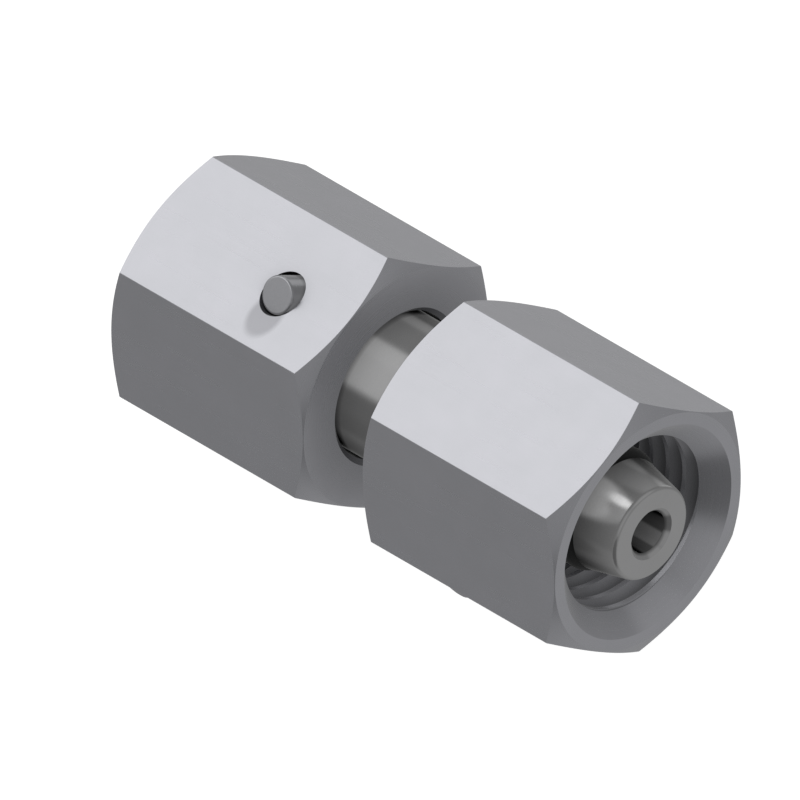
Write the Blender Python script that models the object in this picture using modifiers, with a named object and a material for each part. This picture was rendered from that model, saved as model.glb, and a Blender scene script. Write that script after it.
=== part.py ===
"""Straight swivel-nut union for 6 mm hydraulic tube.

A turned spindle has a bore right through it and a 24 degree cone with an O-ring at each end. Two hexagon
nuts turn freely on it. Each is held by a round wire that lies half in the nut and half in the spindle.
Units are metres and +Z is up. The fitting's axis runs along X, and the nuts rest on a flat at Z = 0.
Turned pieces are drawn about their own Z axis, as radius and distance outward from the middle of the fitting.
"""

from math import asin, atan2, cos, pi, radians, sin, sqrt, tan

import bmesh
import bpy
from mathutils import Vector

MM = 0.001

# Nut: metric thread M14 x 1.5, hexagon 17 mm across flats
THREAD_DIAMETER = 14.0 * MM
THREAD_PITCH = 1.5 * MM
NUT_WALL = 1.5 * MM
NUT_LENGTH = 17.5 * MM
NUT_SPACING = 5.4 * MM
CHAMFER_SLOPE = radians(30)
CHAMFER_INSET = 0.05 * MM
MOUTH_WIDENING = 0.61 * MM
RELIEF_DEPTH = 0.2 * MM
RELIEF_WIDTH = 2.0 * MM
LAND_BEHIND_THREAD = 1.6 * MM
BORE_STEP = 0.93 * MM
BORE_EDGE = 0.35 * MM
NUT_TURN = radians(-60)

# Spindle
RUNNING_GAP = 0.2 * MM
BORE_DIAMETER = 3.0 * MM
BORE_CHAMFER = 0.35 * MM
TIP_DIAMETER = 6.6 * MM
TIP_EDGE = 0.3 * MM
TIP_PROUD = 0.33 * MM
CONE_HALF_ANGLE = radians(12)
CONE_LAND = 1.1 * MM
SHOULDER_EDGE = 0.3 * MM

# O-ring and its groove
SEAL_SECTION = 1.5 * MM
SEAL_PLACE = 4.15 * MM
SEAL_PROUD = 0.17 * MM
SEAL_FLOOR_GAP = 0.1 * MM
SEAL_SIDE_GAP = 0.2 * MM

# Thrust wire, its groove and the slanted hole that it is driven in through
WIRE_DIAMETER = 2.6 * MM
WIRE_PLACE = 5.5 * MM
WIRE_GAP = 0.15 * MM
WIRE_SPAN = radians(320)
WIRE_BEND = 1.6 * MM
WIRE_EDGE = 0.2 * MM
HOLE_GAP = 0.2 * MM
HOLE_SLANT = radians(30)
HOLE_TURN = radians(45.1)
TAIL_LEAN = radians(3)
TAIL_OFFSET = 0.11 * MM
TAIL_1_PROUD = 0.45 * MM
TAIL_2_PROUD = 0.7 * MM

# Fineness of the round shapes
ROUND_STEPS = 60
GROOVE_STEPS = 6
WIRE_STEP = radians(8)
BEND_STEPS = 6
HOLE_SIDES = 32
SEAL_SIDES = 10
SEAL_STEPS = 48
SHARP_EDGE = radians(30)
MERGE = 0.000001
BEYOND = 1.0 * MM

# Worked out from the sizes above
FLAT_RADIUS = THREAD_DIAMETER / 2 + NUT_WALL
CREST_RADIUS = THREAD_DIAMETER / 2 - 0.54127 * THREAD_PITCH
NUT_BORE_RADIUS = CREST_RADIUS - BORE_STEP
BODY_RADIUS = NUT_BORE_RADIUS - RUNNING_GAP
WIRE_RADIUS = WIRE_DIAMETER / 2
GROOVE_RADIUS = WIRE_RADIUS + WIRE_GAP
RING_RADIUS = (NUT_BORE_RADIUS + BODY_RADIUS) / 2
HOLE_RADIUS = WIRE_RADIUS + HOLE_GAP
HOLE_OFFSET = RING_RADIUS * cos(HOLE_TURN)
NUT_INNER = NUT_SPACING / 2
NUT_OUTER = NUT_INNER + NUT_LENGTH
WIRE_HEIGHT = NUT_INNER + WIRE_PLACE
TIP_HEIGHT = NUT_OUTER + TIP_PROUD
SEAL_HEIGHT = TIP_HEIGHT - SEAL_PLACE
AXIS_HEIGHT = FLAT_RADIUS


def cone_radius(height):
    """Radius of the sealing cone at a distance outward from the middle."""
    return TIP_DIAMETER / 2 + (TIP_HEIGHT - height) * tan(CONE_HALF_ANGLE)


def groove_arc(surface_radius, outward):
    """The wire groove's round section from its outer lip to its inner lip, cut into a surface."""
    depth = RING_RADIUS - surface_radius
    lip = asin(depth / GROOVE_RADIUS)
    start, stop = (pi / 2 + lip, -pi / 2 - lip) if outward else (pi / 2 + lip, 3 * pi / 2 - lip)
    arc = []
    for step in range(GROOVE_STEPS + 1):
        angle = start + (stop - start) * step / GROOVE_STEPS
        arc.append((RING_RADIUS + GROOVE_RADIUS * cos(angle), WIRE_HEIGHT + GROOVE_RADIUS * sin(angle)))
    return arc


def spindle_profile():
    """Outer side from top to bottom, then back up the bore. The lower half mirrors the upper one."""
    bore = BORE_DIAMETER / 2
    half_groove = SEAL_SECTION / 2 + SEAL_SIDE_GAP
    groove_top = SEAL_HEIGHT + half_groove
    groove_bottom = SEAL_HEIGHT - half_groove
    floor = seal_radius() - SEAL_SECTION / 2 - SEAL_FLOOR_GAP
    shoulder = groove_bottom - CONE_LAND
    edge_height = TIP_HEIGHT - TIP_EDGE
    upper = [
        (bore + BORE_CHAMFER, TIP_HEIGHT),
        (cone_radius(edge_height) - TIP_EDGE, TIP_HEIGHT),
        (cone_radius(edge_height), edge_height),
        (cone_radius(groove_top), groove_top),
        (floor, groove_top),
        (floor, groove_bottom),
        (cone_radius(groove_bottom), groove_bottom),
        (cone_radius(shoulder), shoulder),
        (BODY_RADIUS - SHOULDER_EDGE, shoulder),
        (BODY_RADIUS, shoulder - SHOULDER_EDGE),
    ]
    upper += groove_arc(BODY_RADIUS, outward=False)
    lower = [(radius, -height) for radius, height in reversed(upper)]
    bore_end = TIP_HEIGHT - BORE_CHAMFER
    return upper + lower + [(bore, -bore_end), (bore, bore_end)]


def nut_envelope_profile():
    """The nut's two faces and the 30 degree chamfers that round its corners."""
    face = FLAT_RADIUS - CHAMFER_INSET
    outside = FLAT_RADIUS / cos(pi / 6) + BEYOND
    fall = (outside - face) * tan(CHAMFER_SLOPE)
    return [
        (0, NUT_OUTER),
        (face, NUT_OUTER),
        (outside, NUT_OUTER - fall),
        (outside, NUT_INNER + fall),
        (face, NUT_INNER),
        (0, NUT_INNER),
    ]


def nut_bore_profile():
    """The inside of the nut: countersink, thread, relief, wire groove and plain bore."""
    mouth = THREAD_DIAMETER / 2 + MOUTH_WIDENING
    relief = THREAD_DIAMETER / 2 + RELIEF_DEPTH
    relief_bottom = WIRE_HEIGHT + GROOVE_RADIUS + LAND_BEHIND_THREAD
    relief_top = relief_bottom + RELIEF_WIDTH
    profile = [
        (0, NUT_OUTER + BEYOND),
        (mouth + BEYOND, NUT_OUTER + BEYOND),
        (CREST_RADIUS, NUT_OUTER - (mouth - CREST_RADIUS)),
        (CREST_RADIUS, relief_top),
        (relief, relief_top - (relief - CREST_RADIUS)),
        (relief, relief_bottom),
        (NUT_BORE_RADIUS, relief_bottom),
    ]
    profile += groove_arc(NUT_BORE_RADIUS, outward=True)
    profile += [
        (NUT_BORE_RADIUS, NUT_INNER + BORE_EDGE),
        (NUT_BORE_RADIUS + BORE_EDGE + BEYOND, NUT_INNER - BEYOND),
        (0, NUT_INNER - BEYOND),
    ]
    return profile


def seal_radius():
    """Radius of the O-ring's centre line, stretched over the floor of its groove."""
    return cone_radius(SEAL_HEIGHT) + SEAL_PROUD - SEAL_SECTION / 2


def wire_path(tail_proud):
    """Centre line of the thrust wire from its tail to its far end, in the plane of the groove.

    Local X points at the flat with the hole. The tail stands in the hole, leaning to its lower wall, then
    the wire bends into the groove and follows it round.
    """
    along = Vector((cos(HOLE_SLANT), -sin(HOLE_SLANT)))
    across = Vector((sin(HOLE_SLANT), cos(HOLE_SLANT)))
    heading = -HOLE_SLANT - TAIL_LEAN
    tail = Vector((cos(heading), sin(heading)))
    left = Vector((-sin(heading), cos(heading)))
    offset = across * (HOLE_OFFSET - TAIL_OFFSET)
    end = offset + along * ((FLAT_RADIUS + tail_proud - offset.x) / along.x)

    beside = end.dot(left) + WIRE_BEND
    ahead = sqrt((RING_RADIUS + WIRE_BEND) ** 2 - beside ** 2)
    bend_centre = left * beside + tail * ahead
    leave = atan2(bend_centre.y, bend_centre.x)
    turn = heading - leave + pi / 2

    path = [end, end - tail * WIRE_EDGE]
    for step in range(BEND_STEPS + 1):
        angle = heading - pi / 2 - turn * step / BEND_STEPS
        path.append(bend_centre + WIRE_BEND * Vector((cos(angle), sin(angle))))
    ring_steps = round(WIRE_SPAN / WIRE_STEP)
    for step in range(1, ring_steps + 1):
        angle = leave + WIRE_SPAN * step / ring_steps
        path.append(RING_RADIUS * Vector((cos(angle), sin(angle))))
    last = leave + WIRE_SPAN + WIRE_EDGE / RING_RADIUS
    path.append(RING_RADIUS * Vector((cos(last), sin(last))))
    return path


def start_empty():
    """Remove what the file opened with, and return the part's collection and the cutters' one."""
    for item in list(bpy.data.objects):
        bpy.data.objects.remove(item)
    part = bpy.data.collections.new("swivel_nut_union")
    cutters = bpy.data.collections.new("cutters")
    bpy.context.scene.collection.children.link(part)
    bpy.context.scene.collection.children.link(cutters)
    return part, cutters


def surface(name, colour, metallic, roughness):
    """A plain Principled material."""
    material = bpy.data.materials.new(name)
    material.use_nodes = True
    shader = material.node_tree.nodes["Principled BSDF"]
    shader.inputs["Base Color"].default_value = (*colour, 1)
    shader.inputs["Metallic"].default_value = metallic
    shader.inputs["Roughness"].default_value = roughness
    return material


def new_object(name, data, collection):
    """An object with the given data, in the given collection."""
    item = bpy.data.objects.new(name, data)
    collection.objects.link(item)
    return item


def turned(name, profile, collection, closed=False):
    """A solid turned about its own Z from a profile of (radius, height) points."""
    edges = [(index, index + 1) for index in range(len(profile) - 1)]
    if closed:
        edges.append((len(profile) - 1, 0))
    mesh = bpy.data.meshes.new(name)
    mesh.from_pydata([(radius, 0, height) for radius, height in profile], edges, [])
    item = new_object(name, mesh, collection)
    screw = item.modifiers.new("turn", "SCREW")
    screw.axis = "Z"
    screw.angle = 2 * pi
    screw.steps = ROUND_STEPS
    screw.render_steps = ROUND_STEPS
    screw.use_merge_vertices = True
    screw.merge_threshold = MERGE
    return item


def rod(name, sides, radius, length, collection):
    """A prism or cylinder about its own Z, centred on its origin, with a corner or side line at +Y."""
    mesh = bpy.data.meshes.new(name)
    shape = bmesh.new()
    bmesh.ops.create_cone(shape, cap_ends=True, segments=sides, radius1=radius, radius2=radius, depth=length)
    shape.to_mesh(mesh)
    shape.free()
    return new_object(name, mesh, collection)


def cut(item, cutter, operation):
    """Add a Boolean with a cutter, and show the cutter only as wires."""
    cutter.hide_render = True
    cutter.display_type = "WIRE"
    boolean = item.modifiers.new(cutter.name, "BOOLEAN")
    boolean.operation = operation
    boolean.solver = "EXACT"
    boolean.object = cutter


def finished_mesh(item, name):
    """The object's evaluated mesh, with loose caps welded and smooth apart from its sharp edges."""
    bpy.context.view_layer.update()
    evaluated = item.evaluated_get(bpy.context.evaluated_depsgraph_get())
    mesh = bpy.data.meshes.new_from_object(evaluated)
    mesh.name = name
    weld = bmesh.new()
    weld.from_mesh(mesh)
    bmesh.ops.remove_doubles(weld, verts=weld.verts, dist=MERGE)
    weld.to_mesh(mesh)
    weld.free()
    mesh.shade_smooth()
    mesh.set_sharp_from_angle(angle=SHARP_EDGE)
    return mesh


def nut_mesh(cutters):
    """One swivel nut: a hexagon prism chamfered, drilled for the wire and bored."""
    middle = (NUT_INNER + NUT_OUTER) / 2
    blank = rod("nut_blank", 6, FLAT_RADIUS / cos(pi / 6), NUT_LENGTH + 2 * BEYOND, cutters)
    blank.location.z = middle
    cut(blank, turned("nut_envelope", nut_envelope_profile(), cutters), "INTERSECT")
    cut(blank, wire_hole(cutters), "DIFFERENCE")
    cut(blank, turned("nut_bore", nut_bore_profile(), cutters), "DIFFERENCE")
    blank.hide_render = True
    blank.display_type = "WIRE"
    mesh = finished_mesh(blank, "swivel_nut")
    mesh.transform(blank.matrix_world)
    return mesh


def wire_hole(cutters):
    """The drill for the wire: it slants through a flat and stops where it meets the groove's middle."""
    foot = HOLE_OFFSET * Vector((sin(HOLE_SLANT), cos(HOLE_SLANT)))
    along = Vector((cos(HOLE_SLANT), -sin(HOLE_SLANT)))
    start = RING_RADIUS * sin(HOLE_TURN) - WIRE_RADIUS
    stop = FLAT_RADIUS + HOLE_RADIUS + BEYOND
    centre = foot + along * (start + stop) / 2
    drill = rod("wire_hole", HOLE_SIDES, HOLE_RADIUS, stop - start, cutters)
    drill.location = (centre.x, centre.y, WIRE_HEIGHT)
    drill.rotation_euler = (0, pi / 2, -HOLE_SLANT)
    return drill


def wire_mesh(tail_proud, cutters):
    """One thrust wire: a round wire along its path, with both ends chamfered."""
    path = wire_path(tail_proud)
    curve = bpy.data.curves.new("wire_path", "CURVE")
    curve.dimensions = "3D"
    curve.bevel_depth = WIRE_RADIUS
    curve.bevel_resolution = 3
    curve.use_fill_caps = True
    spline = curve.splines.new("POLY")
    spline.points.add(len(path) - 1)
    for point, place in zip(spline.points, path):
        point.co = (place.x, place.y, WIRE_HEIGHT, 1)
    for end in (spline.points[0], spline.points[-1]):
        end.radius = 1 - WIRE_EDGE / WIRE_RADIUS
    guide = new_object("wire_path", curve, cutters)
    mesh = finished_mesh(guide, "thrust_wire")
    bpy.data.objects.remove(guide)
    return mesh


def seal(name, collection, material):
    """One O-ring, a torus about its own Z."""
    bpy.ops.mesh.primitive_torus_add(
        major_radius=seal_radius(),
        minor_radius=SEAL_SECTION / 2,
        major_segments=SEAL_STEPS,
        minor_segments=SEAL_SIDES,
    )
    ring = bpy.context.object
    for owner in list(ring.users_collection):
        owner.objects.unlink(ring)
    collection.objects.link(ring)
    ring.name = name
    ring.data.shade_smooth()
    ring.data.materials.append(material)
    return ring


def build():
    part, cutters = start_empty()
    zinc = surface("zinc_plated_steel", (0.60, 0.60, 0.62), 1.0, 0.42)
    bright_zinc = surface("turned_zinc_plated_steel", (0.66, 0.66, 0.66), 1.0, 0.25)
    rubber = surface("nitrile_rubber", (0.012, 0.013, 0.014), 0.0, 0.5)

    spindle = turned("spindle", spindle_profile(), part, closed=True)
    spindle.data = finished_mesh(spindle, "spindle")
    spindle.modifiers.clear()
    spindle.data.materials.append(bright_zinc)
    spindle.location.z = AXIS_HEIGHT
    spindle.rotation_euler.y = pi / 2

    nut = nut_mesh(cutters)
    nut.materials.append(zinc)

    for number, side, turn, tail_proud in ((1, -1, 0, TAIL_1_PROUD), (2, 1, NUT_TURN, TAIL_2_PROUD)):
        wire = wire_mesh(tail_proud, cutters)
        wire.materials.append(bright_zinc)
        swivel = new_object(f"nut_swivel_{number}", None, part)
        swivel.location.z = AXIS_HEIGHT
        swivel.rotation_euler.x = turn
        for name, mesh in (("swivel_nut", nut), ("thrust_wire", wire)):
            piece = new_object(f"{name}_{number}", mesh, part)
            piece.parent = swivel
            piece.rotation_euler.y = side * pi / 2
        ring = seal(f"o_ring_{number}", part, rubber)
        ring.location = (side * SEAL_HEIGHT, 0, AXIS_HEIGHT)
        ring.rotation_euler.y = pi / 2
    bpy.context.view_layer.update()


build()
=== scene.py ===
# %% [markdown]
# # A straight swivel-nut union for 6 mm hydraulic tube
#
# The fitting joins two tubes in line. A spindle, turned from one steel bar, has a sealing cone at each
# end. Two hexagon nuts turn freely on it. Each nut is held by a round wire that lies half in the nut and
# half in the spindle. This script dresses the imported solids: it models the fine shapes that the solids
# leave plain, such as the screw thread, and it gives each surface its finish.

from math import asin, atan2, cos, degrees, pi, radians, sin, sqrt, tan

import bmesh
import bpy
from mathutils import Matrix, Vector


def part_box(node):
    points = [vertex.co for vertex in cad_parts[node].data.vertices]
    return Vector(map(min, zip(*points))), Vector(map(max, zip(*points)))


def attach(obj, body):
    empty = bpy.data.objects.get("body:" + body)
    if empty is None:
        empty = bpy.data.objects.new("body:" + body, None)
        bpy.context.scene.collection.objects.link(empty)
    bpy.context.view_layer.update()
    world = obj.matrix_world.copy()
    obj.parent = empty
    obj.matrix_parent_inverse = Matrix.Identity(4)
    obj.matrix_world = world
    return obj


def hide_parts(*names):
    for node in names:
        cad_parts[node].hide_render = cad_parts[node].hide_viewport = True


MM = 0.001

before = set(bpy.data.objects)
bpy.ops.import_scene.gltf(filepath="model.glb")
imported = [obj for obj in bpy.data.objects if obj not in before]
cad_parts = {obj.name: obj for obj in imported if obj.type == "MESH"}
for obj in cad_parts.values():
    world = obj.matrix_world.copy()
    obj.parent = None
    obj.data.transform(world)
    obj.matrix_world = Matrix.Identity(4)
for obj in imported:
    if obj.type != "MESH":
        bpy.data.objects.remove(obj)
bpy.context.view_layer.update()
print("nodes:", ", ".join(sorted(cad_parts)))

# %% [markdown]
# ## Where everything is
#
# The solids already stand at their real size and place, so the main sizes are measured from them and not
# written twice. The fitting's axis runs along X, and the nuts rest on a flat at Z = 0, so half a nut's
# height is both the hexagon's inner radius and the height of the axis.

# %% Measure the solids
nut_low, nut_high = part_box("swivel_nut_2")
NUT_INNER = nut_low.x
NUT_OUTER = nut_high.x
FLAT_RADIUS = nut_high.z / 2
TIP_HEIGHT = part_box("spindle")[1].x
WIRE_HEIGHT = sum(corner.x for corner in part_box("thrust_wire_2")) / 2
SEAL_HEIGHT = sum(corner.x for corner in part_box("o_ring_2")) / 2
AXIS = Vector((0, 0, FLAT_RADIUS))
print(f"nut {(NUT_OUTER - NUT_INNER) / MM:.2f} mm long, {2 * FLAT_RADIUS / MM:.2f} mm across flats")
for label, height in (("tip", TIP_HEIGHT), ("wire", WIRE_HEIGHT), ("seal", SEAL_HEIGHT)):
    print(f"{label} {height / MM:.2f} mm from the middle")

# %% [markdown]
# ## Sizes that the solids can't give
#
# The rest are the thread's standard sizes and the clearances of the inner shapes. M14 x 1.5 means 14 mm
# over the thread and 1.5 mm from one turn to the next. The crest of a nut's thread lies 0.54127 pitches
# inside the nominal radius, and its flanks lean 30 degrees each way.
#
# Three small values serve all shapes: how wide a sharp edge is broken, the distance within which points
# are welded, and how far a cutter reaches past what it cuts.

# %% Name the inner sizes
THREAD_RADIUS = 7.0 * MM
THREAD_PITCH = 1.5 * MM
THREAD_DEPTH = 0.54127 * THREAD_PITCH
FLANK_LEAN = radians(30)
CREST_RADIUS = THREAD_RADIUS - THREAD_DEPTH
MOUTH_RADIUS = 7.61 * MM
RELIEF_RADIUS = 7.2 * MM
RELIEF_WIDTH = 2.0 * MM
LAND_BEHIND_THREAD = 1.6 * MM
THREAD_IN_RELIEF = 0.4 * MM
NUT_BORE_RADIUS = CREST_RADIUS - 0.93 * MM
BORE_EDGE = 0.35 * MM
CHAMFER_RADIUS = FLAT_RADIUS - 0.05 * MM
CHAMFER_SLOPE = radians(30)
NUT_TURN = radians(-60)

BODY_RADIUS = NUT_BORE_RADIUS - 0.2 * MM
BORE_RADIUS = 1.5 * MM
BORE_CHAMFER = 0.35 * MM
TIP_RADIUS = 3.3 * MM
TIP_EDGE = 0.28 * MM
CONE_HALF_ANGLE = radians(12)
CONE_LAND = 1.1 * MM
SHOULDER_EDGE = 0.3 * MM

SEAL_SECTION_RADIUS = 0.75 * MM
SEAL_PROUD = 0.17 * MM
SEAL_FLOOR_GAP = 0.1 * MM
SEAL_SIDE_GAP = 0.2 * MM

WIRE_RADIUS = 1.3 * MM
GROOVE_RADIUS = WIRE_RADIUS + 0.15 * MM
RING_RADIUS = (NUT_BORE_RADIUS + BODY_RADIUS) / 2
WIRE_SPAN = radians(320)
WIRE_BEND = 1.6 * MM
WIRE_EDGE = 0.2 * MM
HOLE_RADIUS = WIRE_RADIUS + 0.2 * MM
HOLE_SLANT = radians(30)
HOLE_TURN = radians(45.1)
TAIL_LEAN = radians(3)
TAIL_OFFSET = 0.11 * MM
TAIL_PROUD = {1: 0.4 * MM, 2: 0.7 * MM}

BROKEN_EDGE = 0.06 * MM
SMALL = 0.002 * MM
BEYOND = 1.0 * MM
for label, radius in (("thread crest", CREST_RADIUS), ("nut bore", NUT_BORE_RADIUS), ("body", BODY_RADIUS)):
    print(f"{label} radius {radius / MM:.3f} mm")

# %% [markdown]
# ## Turning a shape
#
# Nearly everything here comes off a lathe. In bmesh that is the spin operator: draw half of the section
# as a line beside the Z axis, and sweep it once round. A full turn is merged at its seam, and the
# normals are then made to point outwards. A Screw modifier would give the same shape, but spin can also
# rise as it turns, which the thread needs.

# %% Helpers that turn a section about Z
ROUND_STEPS = 180


def sweep(profile, closed, rise=0.0):
    """Spin a line of (radius, height) points once about Z, and return the bmesh."""
    shape = bmesh.new()
    points = [shape.verts.new((radius, 0, height)) for radius, height in profile]
    line = [shape.edges.new(pair) for pair in zip(points, points[1:])]
    if closed:
        line.append(shape.edges.new((points[-1], points[0])))
    bmesh.ops.spin(
        shape,
        geom=points + line,
        cent=(0, 0, 0),
        axis=(0, 0, 1),
        dvec=(0, 0, rise / ROUND_STEPS),
        angle=2 * pi,
        steps=ROUND_STEPS,
        use_merge=not rise,
    )
    bmesh.ops.remove_doubles(shape, verts=shape.verts, dist=SMALL)
    return shape


def close_up(shape):
    """Fill any open ends, and point every face outwards."""
    bmesh.ops.holes_fill(shape, edges=shape.edges, sides=0)
    bmesh.ops.recalc_face_normals(shape, faces=shape.faces)
    return shape


def break_edges(shape, edges, width, segments):
    """Round the given edges, as a file or a tumbling drum does."""
    bmesh.ops.bevel(
        shape,
        geom=edges,
        offset=width,
        offset_type="OFFSET",
        segments=segments,
        profile=0.5,
        affect="EDGES",
        clamp_overlap=True,
        material=-1,
    )


def as_mesh(shape, name):
    """The mesh of a finished bmesh, which is freed."""
    mesh = bpy.data.meshes.new(name)
    shape.to_mesh(mesh)
    shape.free()
    return mesh


def into_object(shape, name):
    """Put a bmesh in a new object of the scene."""
    item = bpy.data.objects.new(name, as_mesh(shape, name))
    bpy.context.scene.collection.objects.link(item)
    return item


print("one turn takes", ROUND_STEPS, "steps")

# %% [markdown]
# ## The screw thread
#
# A thread is one turn of its section that rises by a pitch. The section here is a line with the teeth of
# several pitches one above the other, so that a single rising turn joins each tooth to the one above it.
# A flat an eighth of a pitch wide lies at the full radius, and one a quarter of a pitch wide at the crest.
# The corners are broken a little, as a tap leaves them.
#
# Cut off square at both ends and closed, this is a threaded rod, the shape that the nut needs taken out.
# It ends where the countersink has narrowed to the crests, so that the countersink stays a clean cone.
# Where its first turn starts is a matter of how the tap went in, so that is one more named size.

# %% Make the threaded rod
CORNER = 0.05 * MM
THREAD_START = 0.34 * THREAD_PITCH


def tooth(bottom):
    """One pitch of the section, from the crest up and round to the next crest."""
    flank = THREAD_DEPTH * tan(FLANK_LEAN)
    lean = CORNER * tan(FLANK_LEAN)
    corners = [
        (CREST_RADIUS, 0),
        (CREST_RADIUS, THREAD_PITCH / 4 - CORNER / 2),
        (CREST_RADIUS + CORNER, THREAD_PITCH / 4 + lean),
        (THREAD_RADIUS - CORNER, THREAD_PITCH / 4 + flank - lean),
        (THREAD_RADIUS, THREAD_PITCH / 4 + flank + CORNER / 2),
        (THREAD_RADIUS, THREAD_PITCH * 3 / 8 + flank - CORNER / 2),
        (THREAD_RADIUS - CORNER, THREAD_PITCH * 3 / 8 + flank + lean),
        (CREST_RADIUS + CORNER, THREAD_PITCH - lean),
    ]
    return [(radius, bottom + height) for radius, height in corners]


def threaded_rod(low, high):
    """A rod with the thread on it, cut off square at two heights."""
    profile = []
    bottom = low - 2 * THREAD_PITCH + THREAD_START
    while bottom < high + THREAD_PITCH:
        profile += tooth(bottom)
        bottom += THREAD_PITCH
    rod = sweep(profile, closed=False, rise=THREAD_PITCH)
    for height, side in ((low, -1), (high, 1)):
        everything = rod.verts[:] + rod.edges[:] + rod.faces[:]
        bmesh.ops.bisect_plane(
            rod,
            geom=everything,
            dist=SMALL / 10,
            plane_co=(0, 0, height),
            plane_no=(0, 0, side),
            clear_outer=True,
        )
    return close_up(rod)


relief_low = WIRE_HEIGHT + GROOVE_RADIUS + LAND_BEHIND_THREAD
thread_end = NUT_OUTER - (MOUTH_RADIUS - CREST_RADIUS) + CORNER / 2
thread_cutter = into_object(threaded_rod(relief_low + THREAD_IN_RELIEF, thread_end), "threaded_rod")
print("threaded rod:", len(thread_cutter.data.polygons), "faces")

# %% [markdown]
# ## The nut's other cutters
#
# The 30 degree chamfers on a hexagon nut come from turning its corners off, which leaves the curved line
# where each flat meets the chamfer. So the nut starts as a hexagon bar, and what a lathe would leave of it
# is a turned envelope. The plain inside is turned too: the countersink at the mouth, a relief for the
# tap behind the thread, the wire's half-round groove, and the bore that runs on the spindle.

# %% Make the turned cutters and the drill
GROOVE_STEPS = 24
DRILL_SIDES = 72


def groove_arc(surface_radius, outward):
    """The wire groove's round section, from its outer lip to its inner lip."""
    lip = asin((RING_RADIUS - surface_radius) / GROOVE_RADIUS)
    start, stop = (pi / 2 + lip, -pi / 2 - lip) if outward else (pi / 2 + lip, 3 * pi / 2 - lip)
    angles = [start + (stop - start) * step / GROOVE_STEPS for step in range(GROOVE_STEPS + 1)]
    return [(RING_RADIUS + GROOVE_RADIUS * cos(a), WIRE_HEIGHT + GROOVE_RADIUS * sin(a)) for a in angles]


def envelope_profile():
    """The two faces and the chamfers, drawn out past the hexagon's corners."""
    outside = FLAT_RADIUS / cos(pi / 6) + BEYOND
    fall = (outside - CHAMFER_RADIUS) * tan(CHAMFER_SLOPE)
    return [
        (0, NUT_OUTER),
        (CHAMFER_RADIUS, NUT_OUTER),
        (outside, NUT_OUTER - fall),
        (outside, NUT_INNER + fall),
        (CHAMFER_RADIUS, NUT_INNER),
        (0, NUT_INNER),
    ]


def inside_profile():
    """Countersink, relief, wire groove and plain bore. The thread is cut by its own rod."""
    relief_high = relief_low + RELIEF_WIDTH
    narrow = NUT_BORE_RADIUS
    profile = [
        (0, NUT_OUTER + BEYOND),
        (MOUTH_RADIUS + BEYOND, NUT_OUTER + BEYOND),
        (narrow, NUT_OUTER - (MOUTH_RADIUS - narrow)),
        (narrow, relief_high + CREST_RADIUS - narrow),
        (RELIEF_RADIUS, relief_high - (RELIEF_RADIUS - CREST_RADIUS)),
        (RELIEF_RADIUS, relief_low),
        (narrow, relief_low),
    ]
    profile += groove_arc(narrow, outward=True)
    profile += [
        (narrow, NUT_INNER + BORE_EDGE),
        (narrow + BORE_EDGE + BEYOND, NUT_INNER - BEYOND),
        (0, NUT_INNER - BEYOND),
    ]
    return profile


def drill():
    """The slanted hole that the wire is driven in through."""
    along = Vector((cos(HOLE_SLANT), -sin(HOLE_SLANT), 0))
    across = Vector((sin(HOLE_SLANT), cos(HOLE_SLANT), 0))
    start = RING_RADIUS * sin(HOLE_TURN) - WIRE_RADIUS
    stop = FLAT_RADIUS + HOLE_RADIUS + BEYOND
    centre = across * RING_RADIUS * cos(HOLE_TURN) + along * (start + stop) / 2
    place = Matrix.Translation(centre + Vector((0, 0, WIRE_HEIGHT)))
    turn = Matrix.Rotation(-HOLE_SLANT, 4, "Z") @ Matrix.Rotation(pi / 2, 4, "Y")
    shape = bmesh.new()
    bmesh.ops.create_cone(
        shape,
        cap_ends=True,
        segments=DRILL_SIDES,
        radius1=HOLE_RADIUS,
        radius2=HOLE_RADIUS,
        depth=stop - start,
        matrix=place @ turn,
    )
    return shape


envelope = into_object(close_up(sweep(envelope_profile(), closed=False)), "envelope")
inside = into_object(close_up(sweep(inside_profile(), closed=False)), "inside")
hole = into_object(drill(), "wire_drill")
for cutter in (envelope, inside, hole):
    print(cutter.name, len(cutter.data.polygons), "faces")

# %% [markdown]
# ## The nut
#
# A hexagon bar is a cone operator with six sides and equal ends. Its long corners are broken before the
# cuts, because a real bar's are never knife-sharp and a thin line of light there tells the eye that it
# is metal. The cuts are Boolean modifiers with the exact solver. The hole comes before the inside: cut
# into a bar that is still full, its far end leaves nothing thin, and the solver stays sound. Their result
# is read back as a mesh, so the cutters can go. Both nuts are the same part, so one mesh is made and
# placed twice.

# %% Cut the nut


def nut_bar():
    """The hexagon bar that the nut is cut from, standing on Z with a flat towards X."""
    shape = bmesh.new()
    middle = (NUT_INNER + NUT_OUTER) / 2
    corner = FLAT_RADIUS / cos(pi / 6)
    bmesh.ops.create_cone(
        shape,
        cap_ends=True,
        segments=6,
        radius1=corner,
        radius2=corner,
        depth=NUT_OUTER - NUT_INNER + 2 * BEYOND,
        matrix=Matrix.Translation((0, 0, middle)),
    )
    upright = [edge for edge in shape.edges if abs(edge.verts[0].co.z - edge.verts[1].co.z) > BEYOND]
    break_edges(shape, upright, BROKEN_EDGE, segments=3)
    return shape


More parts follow.
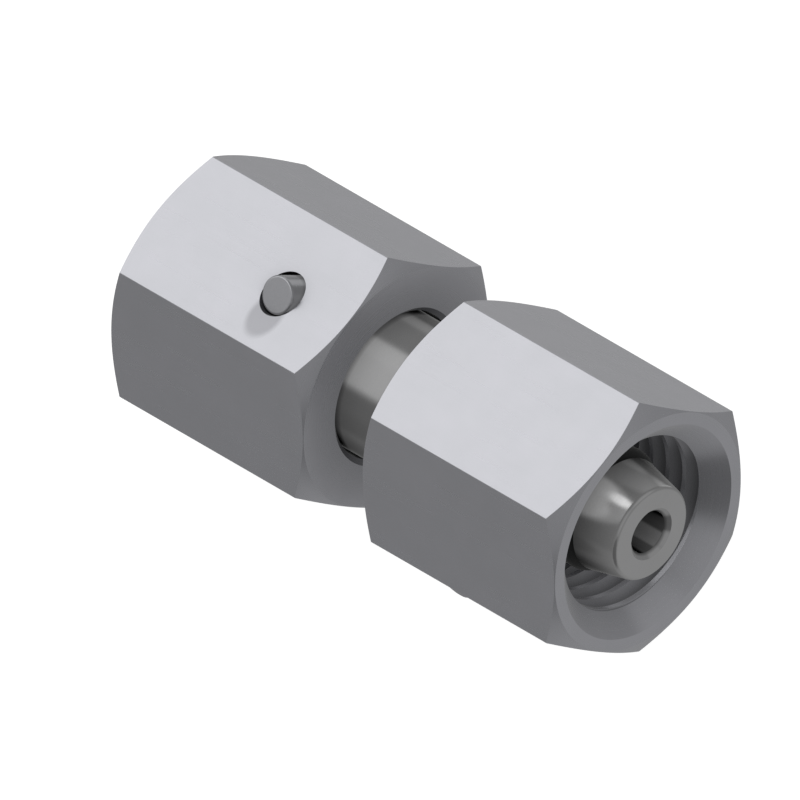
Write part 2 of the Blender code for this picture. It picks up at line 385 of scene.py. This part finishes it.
def carve(item, steps):
    """Apply Booleans one after another, remove the cutters, and weld what the cuts left side by side."""
    for cutter, operation in steps:
        boolean = item.modifiers.new(cutter.name, "BOOLEAN")
        boolean.solver = "EXACT"
        boolean.operation = operation
        boolean.object = cutter
    bpy.context.view_layer.update()
    evaluated = item.evaluated_get(bpy.context.evaluated_depsgraph_get())
    carved = bpy.data.meshes.new_from_object(evaluated)
    for cutter, _ in steps:
        bpy.data.objects.remove(cutter)
    bpy.data.objects.remove(item)
    weld = bmesh.new()
    weld.from_mesh(carved)
    bmesh.ops.remove_doubles(weld, verts=weld.verts, dist=SMALL)
    weld.to_mesh(carved)
    weld.free()
    return carved


def open_edges(mesh):
    """How many edges don't join exactly two faces. A sound solid has none."""
    uses = {}
    for face in mesh.polygons:
        for edge in face.edge_keys:
            uses[edge] = uses.get(edge, 0) + 1
    return sum(count != 2 for count in uses.values())


nut_steps = [
    (envelope, "INTERSECT"),
    (hole, "DIFFERENCE"),
    (inside, "DIFFERENCE"),
    (thread_cutter, "DIFFERENCE"),
]
nut_mesh = carve(into_object(nut_bar(), "hexagon_bar"), nut_steps)
print("nut:", len(nut_mesh.polygons), "faces, open edges:", open_edges(nut_mesh))

# %% [markdown]
# The two nuts will lie differently but wear one material, which has to find the wire's hole on both, to
# paint the shadow beside it. So the mesh remembers, in an attribute, where each of its points was while
# the nut still stood on Z.

# %% Remember each point's place on the nut
own_place = nut_mesh.attributes.new("own_place", "FLOAT_VECTOR", "POINT")
for vertex, remembered in zip(nut_mesh.vertices, own_place.data):
    remembered.vector = vertex.co
print("places remembered:", len(own_place.data))

# %% [markdown]
# ## The spindle
#
# The spindle is one turning. Its section is the same at both ends, so the upper half is drawn and
# mirrored. From the tip inwards there is the bore's chamfer, the flat tip, the 24 degree cone with the
# O-ring's square groove, a shoulder, and the plain body with a half-round groove for the wire. A turner
# breaks the tip's edge wide so that it can't nick the O-ring's seat, and the other edges only just.

# %% Turn the spindle
SHARP_ANGLE = radians(20)


def cone_radius(height):
    """Radius of the sealing cone at a distance from the middle of the fitting."""
    return TIP_RADIUS + (TIP_HEIGHT - height) * tan(CONE_HALF_ANGLE)


def spindle_profile():
    """The closed half section: outer side from top to bottom, then back up the bore."""
    half_groove = SEAL_SECTION_RADIUS + SEAL_SIDE_GAP
    groove_top = SEAL_HEIGHT + half_groove
    groove_bottom = SEAL_HEIGHT - half_groove
    floor_radius = cone_radius(SEAL_HEIGHT) + SEAL_PROUD - 2 * SEAL_SECTION_RADIUS - SEAL_FLOOR_GAP
    shoulder = groove_bottom - CONE_LAND
    upper = [
        (BORE_RADIUS + BORE_CHAMFER, TIP_HEIGHT),
        (TIP_RADIUS, TIP_HEIGHT),
        (cone_radius(groove_top), groove_top),
        (floor_radius, groove_top),
        (floor_radius, groove_bottom),
        (cone_radius(groove_bottom), groove_bottom),
        (cone_radius(shoulder), shoulder),
        (BODY_RADIUS - SHOULDER_EDGE, shoulder),
        (BODY_RADIUS, shoulder - SHOULDER_EDGE),
    ]
    upper += groove_arc(BODY_RADIUS, outward=False)
    lower = [(radius, -height) for radius, height in reversed(upper)]
    bore_end = TIP_HEIGHT - BORE_CHAMFER
    return upper + lower + [(BORE_RADIUS, -bore_end), (BORE_RADIUS, bore_end)]


def outer_ring_edges(shape, low, high, inner=0.0):
    """The sharp outward edges that run round the shape, between two heights and outside a radius."""
    found = []
    for edge in shape.edges:
        place = edge.verts[0].co
        runs_round = abs(place.z - edge.verts[1].co.z) < SMALL
        sharp = len(edge.link_faces) == 2 and edge.is_convex and edge.calc_face_angle() > SHARP_ANGLE
        within = low < abs(place.z) < high and place.xy.length > inner
        if runs_round and sharp and within:
            found.append(edge)
    return found


spindle = close_up(sweep(spindle_profile(), closed=True))
at_tip = outer_ring_edges(spindle, TIP_HEIGHT - SMALL, TIP_HEIGHT + SMALL, inner=TIP_RADIUS - SMALL)
break_edges(spindle, at_tip, TIP_EDGE, segments=5)
elsewhere = outer_ring_edges(spindle, 0.0, TIP_HEIGHT - BEYOND)
break_edges(spindle, elsewhere, BROKEN_EDGE, segments=2)
print("spindle:", len(spindle.faces), "faces, edges broken:", len(at_tip), "and", len(elsewhere))

# %% [markdown]
# ## The thrust wires
#
# A straight wire is driven through the slanted hole, and the groove bends it into a ring. What shows in
# the hole is its tail, with the small chamfer of a cropped and dressed end. The route is a ring, a short
# bend the other way and a straight tail, so it is a disc that is spun twice and then extruded. A curve
# with a bevel depth would do it too, but a spin follows the true arcs.

# %% Find the wire's route in the plane of its groove


def tail_route(tail_proud):
    """Where the wire leaves its ring, and the bend and straight that follow, seen along the axis."""
    along = Vector((cos(HOLE_SLANT), -sin(HOLE_SLANT)))
    across = Vector((sin(HOLE_SLANT), cos(HOLE_SLANT)))
    heading = -HOLE_SLANT - TAIL_LEAN
    tail = Vector((cos(heading), sin(heading)))
    left = Vector((-sin(heading), cos(heading)))
    beside_hole = across * (RING_RADIUS * cos(HOLE_TURN) - TAIL_OFFSET)
    end = beside_hole + along * ((FLAT_RADIUS + tail_proud - beside_hole.x) / along.x)
    beside = end.dot(left) + WIRE_BEND
    ahead = sqrt((RING_RADIUS + WIRE_BEND) ** 2 - beside**2)
    centre = left * beside + tail * ahead
    leave = atan2(centre.y, centre.x)
    straight = (end - centre).dot(tail)
    return leave, centre, heading - leave + pi / 2, tail, straight


for number, tail_proud in TAIL_PROUD.items():
    _, _, turn, _, straight = tail_route(tail_proud)
    print(f"wire {number}: bends {degrees(turn):.0f} degrees, then {straight / MM:.2f} mm straight")

# %% Form a wire
WIRE_SIDES = 40
RING_STEPS = 140
BEND_STEPS = 14


def spun_ring(shape, edges, centre, angle, steps):
    """Carry a loop of edges round a centre, and return the loop that it ends at."""
    ends = bmesh.ops.spin(
        shape,
        geom=edges,
        cent=(centre.x, centre.y, WIRE_HEIGHT),
        axis=(0, 0, 1),
        angle=angle,
        steps=steps,
    )
    return [part for part in ends["geom_last"] if isinstance(part, bmesh.types.BMEdge)]


def formed_wire(tail_proud):
    """The whole wire from its far end to its tail."""
    leave, centre, turn, tail, straight = tail_route(tail_proud)
    start = leave + WIRE_SPAN + WIRE_EDGE / RING_RADIUS
    stand = Matrix.Rotation(start, 4, "Z") @ Matrix.Translation((RING_RADIUS, 0, WIRE_HEIGHT))
    shape = bmesh.new()
    bmesh.ops.create_circle(
        shape,
        segments=WIRE_SIDES,
        radius=WIRE_RADIUS,
        matrix=stand @ Matrix.Rotation(pi / 2, 4, "X"),
    )
    loop = spun_ring(shape, shape.edges[:], Vector((0, 0)), leave - start, RING_STEPS)
    loop = spun_ring(shape, loop, centre, turn, BEND_STEPS)
    drawn = bmesh.ops.extrude_edge_only(shape, edges=loop)
    tail_end = [part for part in drawn["geom"] if isinstance(part, bmesh.types.BMVert)]
    bmesh.ops.translate(shape, verts=tail_end, vec=(tail * straight).to_3d())
    close_up(shape)
    rims = [edge for edge in shape.edges if any(len(face.verts) > 4 for face in edge.link_faces)]
    break_edges(shape, rims, WIRE_EDGE, segments=3)
    return shape


wires = {number: formed_wire(tail_proud) for number, tail_proud in TAIL_PROUD.items()}
print("wires:", [len(wire.faces) for wire in wires.values()], "faces")

# %% [markdown]
# ## The O-rings
#
# A moulded ring of round section, stretched a little over the floor of its groove so that it stands
# proud of the cone. It is the simplest spin of all: a circle carried once round the axis.

# %% Mould an O-ring
SEAL_SIDES = 36


def moulded_ring():
    """An O-ring about Z, at its place on the spindle."""
    centre_radius = cone_radius(SEAL_HEIGHT) + SEAL_PROUD - SEAL_SECTION_RADIUS
    shape = bmesh.new()
    bmesh.ops.create_circle(
        shape,
        segments=SEAL_SIDES,
        radius=SEAL_SECTION_RADIUS,
        matrix=Matrix.Translation((centre_radius, 0, SEAL_HEIGHT)) @ Matrix.Rotation(pi / 2, 4, "X"),
    )
    bmesh.ops.spin(
        shape,
        geom=shape.verts[:] + shape.edges[:],
        cent=(0, 0, 0),
        axis=(0, 0, 1),
        angle=2 * pi,
        steps=ROUND_STEPS,
        use_merge=True,
    )
    bmesh.ops.remove_doubles(shape, verts=shape.verts, dist=SMALL)
    return close_up(shape)


ring_mesh = as_mesh(moulded_ring(), "moulded_ring")
print("O-ring:", len(ring_mesh.polygons), "faces")

# %% [markdown]
# ## Put the pieces in place
#
# Each piece was made about its own Z axis. It is laid along X by turning the mesh itself, so that the
# object stays at the origin like the solids do. Nut 2 is nut 1 turned end for end, and then a sixth of a
# turn about the axis. Every piece rides on its body, so it turns with its nut, and it stands for the
# solid that it replaces.
#
# Two choices here are about shading. A Weighted Normal modifier lets each large flat keep its own
# direction up to its narrow rounded edges, so that it looks flat. And all pieces but the wires are left
# out of each other's reflections, as in most catalogue pictures: the metal then shows the studio, and the
# shade in the recesses is painted into the finishes further down. A wire's end stands just proud of its
# flat, and its blurred mirror image there is what shows that.

# %% Lay every piece along the axis
SMOOTH_BELOW = radians(24)
FLATS_OVER_EDGES = 80
LAY = {
    1: Matrix.Translation(AXIS) @ Matrix.Rotation(-pi / 2, 4, "Y"),
    2: Matrix.Translation(AXIS) @ Matrix.Rotation(NUT_TURN, 4, "X") @ Matrix.Rotation(pi / 2, 4, "Y"),
}


def place(mesh, name, number, body, node, slot, mirrored=False):
    """Lay a mesh along the axis at end 1 or 2, smooth all but its sharp edges, and hand it to its body."""
    mesh.name = name
    mesh.transform(LAY[number])
    mesh.shade_smooth()
    mesh.set_sharp_from_angle(angle=SMOOTH_BELOW)
    piece = bpy.data.objects.new(name, mesh)
    bpy.context.scene.collection.objects.link(piece)
    even_out = piece.modifiers.new("even_out", "WEIGHTED_NORMAL")
    even_out.weight = FLATS_OVER_EDGES
    even_out.keep_sharp = True
    piece.visible_glossy = mirrored
    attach(piece, body)
    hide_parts(node)
    return piece


spindle_mesh = as_mesh(spindle, "spindle")
pieces = {"spindle": place(spindle_mesh, "turned_spindle", 2, "spindle_body", "spindle", "turned_steel")}
for number in LAY:
    pieces[f"nut_{number}"] = place(
        nut_mesh.copy(),
        f"threaded_nut_{number}",
        number,
        body=f"nut_body_{number}",
        node=f"swivel_nut_{number}",
        slot="nut_steel",
    )
    pieces[f"wire_{number}"] = place(
        as_mesh(wires[number], "wire"),
        f"formed_wire_{number}",
        number,
        body=f"nut_body_{number}",
        node=f"thrust_wire_{number}",
        slot="wire_steel",
        mirrored=True,
    )
    pieces[f"ring_{number}"] = place(
        ring_mesh.copy(),
        f"moulded_ring_{number}",
        number,
        body="spindle_body",
        node=f"o_ring_{number}",
        slot="seal_rubber",
    )
for name, piece in pieces.items():
    print(f"{name}: {sum(len(face.vertices) - 2 for face in piece.data.polygons)} triangles")

# %% [markdown]
# ## Colours and nodes
#
# Colours are written as the sRGB hex values that a colour picker shows, and turned to the linear values
# that Blender's shaders work in. One small function adds a node, sets it and links it, so that each
# material below reads as a list of what feeds what.

# %% Helpers for materials


def linear(code):
    """The linear RGBA of an sRGB hex value such as #8899aa."""
    values = [int(code[place : place + 2], 16) / 255 for place in (1, 3, 5)]
    return tuple(v / 12.92 if v <= 0.04045 else ((v + 0.055) / 1.055) ** 2.4 for v in values) + (1.0,)


def add(tree, kind, inputs=None, links=None, **settings):
    """Add a node, set its properties and its unlinked inputs, and link the others."""
    node = tree.nodes.new(kind)
    for name, value in settings.items():
        setattr(node, name, value)
    for name, value in (inputs or {}).items():
        node.inputs[name].default_value = value
    for name, socket in (links or {}).items():
        tree.links.new(socket, node.inputs[name])
    return node


def start_material(name, metallic, roughness):
    """A new material, and the tree and Principled shader that its pattern feeds."""
    material = bpy.data.materials.new(name)
    material.use_nodes = True
    shader = material.node_tree.nodes["Principled BSDF"]
    shader.inputs["Metallic"].default_value = metallic
    shader.inputs["Roughness"].default_value = roughness
    return material, material.node_tree, shader


print("mid grey #808080 is", round(linear("#808080")[0], 3), "in linear light")

# %% [markdown]
# ## What every finish needs to know
#
# The marks of drawing and turning follow the fitting's axis, so each pattern starts from the place along
# it and the distance from it. On a turned face the normal leans along X, and on a flat it doesn't, which
# tells the two apart.
#
# Shade is painted into the finishes. Deep in the thread, in the wire's hole and between the nuts the metal is
# darkened, colour and reflection both, as painted shade, and the narrow bore is darkened most. How open a
# surface lies is what the Ambient Occlusion node measures, so it gives this painted shade, on the rubber in
# its groove too. It looks at the shape alone and not at the camera.

# %% Helpers for the patterns
# Painted shade in recesses: how far the Ambient Occlusion node looks, and the darkest share it leaves.
SHADE_REACH = 5.8 * MM
DARKEST_SHADE = 0.1


def place_about_axis(tree):
    """The place of a point, counted from the middle of the fitting's axis."""
    coordinates = add(tree, "ShaderNodeTexCoord")
    centred = add(
        tree,
        "ShaderNodeMapping",
        inputs={"Location": -AXIS},
        links={"Vector": coordinates.outputs["Object"]},
    )
    return centred.outputs["Vector"]


def distances_from_axis(tree, position):
    """How far along the axis a point lies, and how far from it."""
    place = add(tree, "ShaderNodeSeparateXYZ", links={"Vector": position})
    across = add(tree, "ShaderNodeCombineXYZ", links={"Y": place.outputs["Y"], "Z": place.outputs["Z"]})
    radius = add(tree, "ShaderNodeVectorMath", operation="LENGTH", links={0: across.outputs["Vector"]})
    return {"along": place.outputs["X"], "from": radius.outputs["Value"]}


def lean_along_axis(tree):
    """How far a surface faces along the axis, from 0 on a flat of the hexagon to 1 on an end face."""
    geometry = add(tree, "ShaderNodeNewGeometry")
    facing = add(tree, "ShaderNodeSeparateXYZ", links={"Vector": geometry.outputs["Normal"]})
    lean = add(tree, "ShaderNodeMath", operation="ABSOLUTE", links={0: facing.outputs["X"]})
    return lean.outputs["Value"]


def recess_shade(tree, least=DARKEST_SHADE):
    """Painted shade from ambient occlusion: a factor from the least deep in a recess to 1 in the open."""
    shade_share = add(tree, "ShaderNodeAmbientOcclusion", samples=16, inputs={"Distance": SHADE_REACH})
    shade_factor = add(
        tree, "ShaderNodeMapRange", inputs={"To Min": least}, links={"Value": shade_share.outputs["AO"]}
    )
    return shade_factor.outputs["Result"]


def tones(tree, shader, dark, light, mix, shade_share):
    """Vary between two colours by a pattern, multiply in the painted shade, and feed the base colour and the
    gloss.
    """
    colour = add(
        tree,
        "ShaderNodeMix",
        data_type="RGBA",
        inputs={6: linear(dark), 7: linear(light)},
        links={"Factor": mix},
    )
    shaded = add(
        tree,
        "ShaderNodeMix",
        data_type="RGBA",
        blend_type="MULTIPLY",
        inputs={"Factor": 1.0},
        links={6: colour.outputs[2], 7: shade_share},
    )
    tree.links.new(shaded.outputs[2], shader.inputs["Base Color"])
    tree.links.new(shade_share, shader.inputs["Specular Tint"])


def gloss(tree, shader, low, high, mix):
    """Vary the roughness between two values by a pattern."""
    roughness = add(tree, "ShaderNodeMapRange", inputs={"To Min": low, "To Max": high}, links={"Value": mix})
    tree.links.new(roughness.outputs["Result"], shader.inputs["Roughness"])


def relief(tree, shader, depth, strength, height):
    """Raise a pattern by a depth in metres."""
    bump = add(
        tree, "ShaderNodeBump", inputs={"Strength": strength, "Distance": depth}, links={"Height": height}
    )
    tree.links.new(bump.outputs["Normal"], shader.inputs["Normal"])


def finish(material, *names):
    """Give the material to the named pieces."""
    for name in names:
        pieces[name].data.materials.clear()
        pieces[name].data.materials.append(material)
    print(f"{material.name}: {len(material.node_tree.nodes)} nodes, on", ", ".join(names))


print(f"plating reach: {SHADE_REACH / MM:.1f} mm")

# %% [markdown]
# ## Zinc-plated steel, drawn and turned
#
# The nuts are cut from cold-drawn hexagon bar. Drawing leaves faint straight lines along the flats. The
# faces, chamfers and the whole inside were turned after it, which leaves fine rings round the axis. Bright
# zinc plating then covers both with a thin, slightly bluish, satin skin. The real marks are about
# 0.05 mm apart, too fine for this distance, so they are drawn about three times as coarse. A slow mottle
# of a few millimetres keeps the large flats from being one flat tone.
#
# A soft grey patch, about as wide as the wire, is painted on the flat beside the slanted hole, where the
# wire's tail leans over it: a painted shadow of the tail.

# %% Plate the nuts
DRAWN_LINE = 0.16 * MM
DRAWN_LENGTH = 9.0 * MM
TURNED_RING = 0.16 * MM
MOTTLE = 2.5 * MM
# The painted shadow beside the wire's hole: its centre and size on the nut, its fade, and its darkest share.
SHADOW_PATCH_PLACE = (FLAT_RADIUS, -2.5 * MM, WIRE_HEIGHT)
SHADOW_PATCH_SIZE = (1.0 * MM, 1.75 * MM, 1.25 * MM)
SHADOW_PATCH_FADE = (0.75, 1.15)
SHADOW_PATCH_SHARE = 0.71
FACED_LEAN = (0.15, 0.35)

nut_steel, tree, shader = start_material("zinc_plated_drawn_steel", metallic=1.0, roughness=0.26)
position = place_about_axis(tree)
radius = distances_from_axis(tree, position)["from"]
stretched = add(
    tree,
    "ShaderNodeMapping",
    inputs={"Scale": (1 / DRAWN_LENGTH, 1 / DRAWN_LINE, 1 / DRAWN_LINE)},
    links={"Vector": position},
)
drawn_lines = add(
    tree,
    "ShaderNodeTexNoise",
    inputs={"Scale": 1.0, "Detail": 3.0},
    links={"Vector": stretched.outputs["Vector"]},
)
ring_place = add(tree, "ShaderNodeMath", operation="MULTIPLY", inputs={1: 1 / TURNED_RING}, links={0: radius})
turned_rings = add(
    tree,
    "ShaderNodeTexNoise",
    noise_dimensions="1D",
    inputs={"Scale": 1.0, "Detail": 2.0},
    links={"W": ring_place.outputs["Value"]},
)
is_faced = add(
    tree,
    "ShaderNodeMapRange",
    interpolation_type="SMOOTHSTEP",
    inputs={"From Min": FACED_LEAN[0], "From Max": FACED_LEAN[1]},
    links={"Value": lean_along_axis(tree)},
)
is_bored = add(
    tree,
    "ShaderNodeMapRange",
    inputs={"From Min": MOUTH_RADIUS, "From Max": FLAT_RADIUS, "To Min": 1.0, "To Max": 0.0},
    links={"Value": radius},
)
is_turned = add(
    tree,
    "ShaderNodeMath",
    operation="MAXIMUM",
    links={0: is_faced.outputs["Result"], 1: is_bored.outputs["Result"]},
)
marks = add(
    tree,
    "ShaderNodeMix",
    data_type="FLOAT",
    links={
        "Factor": is_turned.outputs["Value"],
        2: drawn_lines.outputs["Fac"],
        3: turned_rings.outputs["Fac"],
    },
)
mottle = add(
    tree, "ShaderNodeTexNoise", inputs={"Scale": 1 / MOTTLE, "Detail": 3.0}, links={"Vector": position}
)
# The painted shadow of the wire's tail, found on each nut by the remembered places.
nut_place = add(tree, "ShaderNodeAttribute", attribute_name="own_place")
beside_hole = add(
    tree,
    "ShaderNodeMapping",
    vector_type="TEXTURE",
    inputs={"Location": SHADOW_PATCH_PLACE, "Scale": SHADOW_PATCH_SIZE},
    links={"Vector": nut_place.outputs["Vector"]},
)
from_shadow_patch = add(tree, "ShaderNodeVectorMath", operation="LENGTH", links={0: beside_hole.outputs["Vector"]})
painted_shadow = add(
    tree,
    "ShaderNodeMapRange",
    interpolation_type="SMOOTHSTEP",
    inputs={"From Min": SHADOW_PATCH_FADE[0], "From Max": SHADOW_PATCH_FADE[1], "To Min": SHADOW_PATCH_SHARE},
    links={"Value": from_shadow_patch.outputs["Value"]},
)
# Painted shade in recesses, times the painted shadow beside the wire's hole.
total_shade = add(
    tree,
    "ShaderNodeMath",
    operation="MULTIPLY",
    links={0: recess_shade(tree), 1: painted_shadow.outputs["Result"]},
)
tones(tree, shader, "#cecfd4", "#d6d6dc", mix=mottle.outputs["Fac"], shade_share=total_shade.outputs["Value"])
gloss(tree, shader, low=0.22, high=0.30, mix=marks.outputs["Result"])
relief(tree, shader, depth=0.004 * MM, strength=0.25, height=marks.outputs["Result"])
finish(nut_steel, "nut_1", "nut_2")

# %% [markdown]
# ## Zinc-plated steel, fine turned
#
# The spindle's cones seal, so they are turned finer than the nut, and the plating on them is brighter.
# It mirrors the studio in soft streaks along the axis. Feed marks run round it: they change along X on
# the body and with the radius on the tip, so the two distances are simply added. Shade is painted in the
# drilled bore, which is darkened most, and on the body between the cones, which is painted a little
# darker as the shade between the nuts.

# %% Plate the spindle
FEED = 0.12 * MM
# How dark the painted shade makes the bore and the body between the nuts.
BORE_SHADE = 0.32
BODY_SHADE = 0.75

spindle_steel, tree, shader = start_material("zinc_plated_turned_steel", metallic=1.0, roughness=0.2)
position = place_about_axis(tree)
distances = distances_from_axis(tree, position)
radius = distances["from"]
path = add(tree, "ShaderNodeMath", operation="ADD", links={0: distances["along"], 1: radius})
feed_place = add(
    tree,
    "ShaderNodeMath",
    operation="MULTIPLY",
    inputs={1: 1 / FEED},
    links={0: path.outputs["Value"]},
)
feed_marks = add(
    tree,
    "ShaderNodeTexNoise",
    noise_dimensions="1D",
    inputs={"Scale": 1.0, "Detail": 2.0},
    links={"W": feed_place.outputs["Value"]},
)
mottle = add(
    tree, "ShaderNodeTexNoise", inputs={"Scale": 1 / MOTTLE, "Detail": 3.0}, links={"Vector": position}
)
# Painted shade: the drilled bore is darkened most.
painted_shade = add(
    tree,
    "ShaderNodeMapRange",
    inputs={"From Min": BORE_RADIUS, "From Max": BORE_RADIUS + BORE_CHAMFER / 2, "To Min": BORE_SHADE},
    links={"Value": radius},
)
# Painted shade: the body between the nuts is painted a little darker.
body = add(
    tree,
    "ShaderNodeMapRange",
    inputs={
        "From Min": BODY_RADIUS - 2 * SHOULDER_EDGE,
        "From Max": BODY_RADIUS - SHOULDER_EDGE,
        "To Min": 1.0,
        "To Max": BODY_SHADE,
    },
    links={"Value": radius},
)
bore_and_body_shade = add(
    tree,
    "ShaderNodeMath",
    operation="MULTIPLY",
    links={0: body.outputs["Result"], 1: painted_shade.outputs["Result"]},
)
# Painted shade in recesses, times the painted shade in the bore and on the body.
total_shade = add(
    tree,
    "ShaderNodeMath",
    operation="MULTIPLY",
    links={0: recess_shade(tree), 1: bore_and_body_shade.outputs["Value"]},
)
tones(tree, shader, "#cdcdcd", "#d5d5d6", mix=mottle.outputs["Fac"], shade_share=total_shade.outputs["Value"])
gloss(tree, shader, low=0.12, high=0.22, mix=feed_marks.outputs["Fac"])
relief(tree, shader, depth=0.003 * MM, strength=0.2, height=feed_marks.outputs["Fac"])
finish(spindle_steel, "spindle")

# %% [markdown]
# ## Drawn spring steel
#
# The wires are drawn through a die and plated before they are driven in. Their painted shade is kept
# light, also deep in the hole, so the side of a tail there stays lit. They are a little duller than the
# turned steel, and their ends show the shear of the cropping tool. A fine grain without direction is
# enough for both.

# %% Finish the wires
GRAIN = 0.12 * MM
WIRE_DARKEST_SHADE = 0.6

wire_steel, tree, shader = start_material("drawn_spring_steel", metallic=1.0, roughness=0.3)
grain = add(
    tree,
    "ShaderNodeTexNoise",
    inputs={"Scale": 1 / GRAIN, "Detail": 4.0},
    links={"Vector": place_about_axis(tree)},
)
# Painted shade in recesses, kept light on the wires.
wire_shade = recess_shade(tree, least=WIRE_DARKEST_SHADE)
tones(tree, shader, "#b8b8bc", "#c1c2c6", mix=grain.outputs["Fac"], shade_share=wire_shade)
gloss(tree, shader, low=0.2, high=0.3, mix=grain.outputs["Fac"])
relief(tree, shader, depth=0.004 * MM, strength=0.2, height=grain.outputs["Fac"])
finish(wire_steel, "wire_1", "wire_2")

# %% [markdown]
# ## Nitrile rubber
#
# O-rings are moulded from black nitrile rubber. It is nearly black and dull, with a soft, wide highlight,
# and the mould leaves a very fine unevenness.

# %% Colour the O-rings
MOULD_GRAIN = 0.2 * MM

ring_rubber, tree, shader = start_material("moulded_nitrile_rubber", metallic=0.0, roughness=0.55)
skin = add(
    tree,
    "ShaderNodeTexNoise",
    inputs={"Scale": 1 / MOULD_GRAIN, "Detail": 3.0},
    links={"Vector": place_about_axis(tree)},
)
# Painted shade: the rubber is darkened where it lies in its groove.
tones(tree, shader, "#161617", "#1d1e1f", mix=skin.outputs["Fac"], shade_share=recess_shade(tree))
gloss(tree, shader, low=0.5, high=0.65, mix=skin.outputs["Fac"])
finish(ring_rubber, "ring_1", "ring_2")

# %% [markdown]
# ## Floor
#
# The fitting lies on a light table, a sheet of white acrylic lit from behind, as is used for catalogue
# pictures with a pure white ground. The metal mirrors its surroundings, and the sheet would turn its
# lower flats white, so it is left out of the reflections.

# %% Lay the light table
TABLE_HALF = 1.5
TABLE_GAP = 0.02 * MM
TABLE_GLOW = 0.92

table_shape = bmesh.new()
bmesh.ops.create_grid(
    table_shape, x_segments=1, y_segments=1, size=TABLE_HALF, matrix=Matrix.Translation((0, 0, -TABLE_GAP))
)
table = into_object(table_shape, "light_table")
table.visible_glossy = False
table.visible_shadow = False
lit_acrylic, tree, shader = start_material("lit_white_acrylic", metallic=0.0, roughness=0.6)
shader.inputs["Base Color"].default_value = linear("#a0a0a0")
shader.inputs["Emission Color"].default_value = linear("#ffffff")
shader.inputs["Emission Strength"].default_value = TABLE_GLOW
table.data.materials.append(lit_acrylic)
print("floor:", table.name)

# %% [markdown]
# ## Light
#
# A metal has almost no colour of its own: what it shows is the room. So the studio is a plain grey room
# with a long softbox overhead, which the top flats mirror. A small bright lamp beside it draws the narrow
# streak along the sealing cone, two dim ones low at the side lift the far flats, a third one straight
# beside the fitting lights the side of a wire's tail, and a black card gives the countersink its dark
# band. The walls are of slightly different greys, as in any real room, and they keep the faces that look
# other ways apart.
#
# Each is a soft-edged round patch of the room: its direction from the fitting, its radius and half the
# width of its soft edge in degrees, and its brightness. A later one covers the earlier ones.

# %% Light the room
ROOM_GREY = 0.28
LAMPS = [
    ("softbox frame", (-0.577, -0.078, 0.813), 38, 3, 0.52),
    ("softbox, near half", (-0.577, 0.142, 0.804), 21, 3, 1.0),
    ("softbox, far half", (-0.577, -0.292, 0.762), 21, 3, 0.95),
    ("lamp", (-0.20, 0.20, 0.96), 9, 3, 1.8),
    ("softbox side", (-0.50, 0.80, 0.33), 26, 6, 0.42),
    ("side lamp", (-0.577, 0.806, -0.128), 9, 4, 0.65),
    ("low side lamp", (-0.577, 0.56, -0.60), 12, 5, 0.40),
    ("lamp for the wire", (-0.15, 0.94, -0.29), 14, 4, 0.6),
    ("pale wall", (0.577, 0.211, -0.789), 30, 8, 0.34),
    ("pale ground", (0.0, -0.3, -0.95), 28, 8, 0.33),
    ("pale ceiling", (0.70, 0.60, 0.40), 24, 6, 0.38),
    ("pale corner", (0.80, -0.25, 0.55), 24, 6, 0.36),
    ("grey wall", (-0.33, -0.85, -0.40), 24, 6, 0.34),
    ("dim wall", (-0.577, -0.789, -0.211), 12, 6, 0.25),
    ("black card", (0.58, -0.78, -0.20), 28, 3, 0.15),
]

studio = bpy.data.worlds.new("studio")
bpy.context.scene.world = studio
studio.use_nodes = True
studio.cycles.sampling_method = "NONE"
tree = studio.node_tree
direction = add(tree, "ShaderNodeTexCoord").outputs["Generated"]
room = add(tree, "ShaderNodeValue")
room.outputs["Value"].default_value = ROOM_GREY
brightness = room.outputs["Value"]
for label, towards, spread, blur, strength in LAMPS:
    nearness = add(
        tree,
        "ShaderNodeVectorMath",
        operation="DOT_PRODUCT",
        inputs={1: Vector(towards).normalized()},
        links={0: direction},
    )
    patch = add(
        tree,
        "ShaderNodeMapRange",
        label=label,
        interpolation_type="SMOOTHSTEP",
        inputs={"From Min": cos(radians(spread + blur)), "From Max": cos(radians(spread - blur))},
        links={"Value": nearness.outputs["Value"]},
    )
    mixed = add(
        tree,
        "ShaderNodeMix",
        data_type="FLOAT",
        inputs={3: strength},
        links={"Factor": patch.outputs["Result"], 2: brightness},
    )
    brightness = mixed.outputs["Result"]
background = tree.nodes["Background"]
background.inputs["Color"].default_value = (1, 1, 1, 1)
tree.links.new(brightness, background.inputs["Strength"])
print("room:", len(tree.nodes), "nodes")

# %% [markdown]
# ## Camera
#
# The photograph is an isometric view: without perspective, and equally foreshortened along the fitting's
# axis and the two directions across it. There the fitting is turned 30 degrees about its axis from how it
# lies here, so the camera is turned instead. One scale holds for all lengths, in pixels per millimetre, and
# the fitting's middle lies a little right of and below the middle of the picture.

# %% Set up the camera
VIEW_TURN = Matrix.Rotation(radians(-30), 3, "X")
PIXELS_PER_MM = 15.527
PIXEL = MM / PIXELS_PER_MM
PICTURE_PIXELS = 800
AXIS_RIGHT = 26.0 * PIXEL
AXIS_UP = -4.0 * PIXEL
CAMERA_DISTANCE = 0.4
CLIP_START = 0.01

right = VIEW_TURN @ Vector((1, 1, 0)).normalized()
up = VIEW_TURN @ Vector((-1, 1, 2)).normalized()
back = VIEW_TURN @ Vector((1, -1, 1)).normalized()
target = AXIS - right * AXIS_RIGHT - up * AXIS_UP
camera_data = bpy.data.cameras.new("camera")
camera_data.type = "ORTHO"
camera_data.ortho_scale = PICTURE_PIXELS * PIXEL
camera_data.clip_start = CLIP_START
camera = bpy.data.objects.new("camera", camera_data)
turned = Matrix((right, up, back)).transposed().to_4x4()
camera.matrix_world = Matrix.Translation(target + back * CAMERA_DISTANCE) @ turned
bpy.context.scene.collection.objects.link(camera)
bpy.context.scene.camera = camera
bpy.context.scene.view_settings.view_transform = "Standard"
print("camera at", [round(value, 4) for value in camera.location])
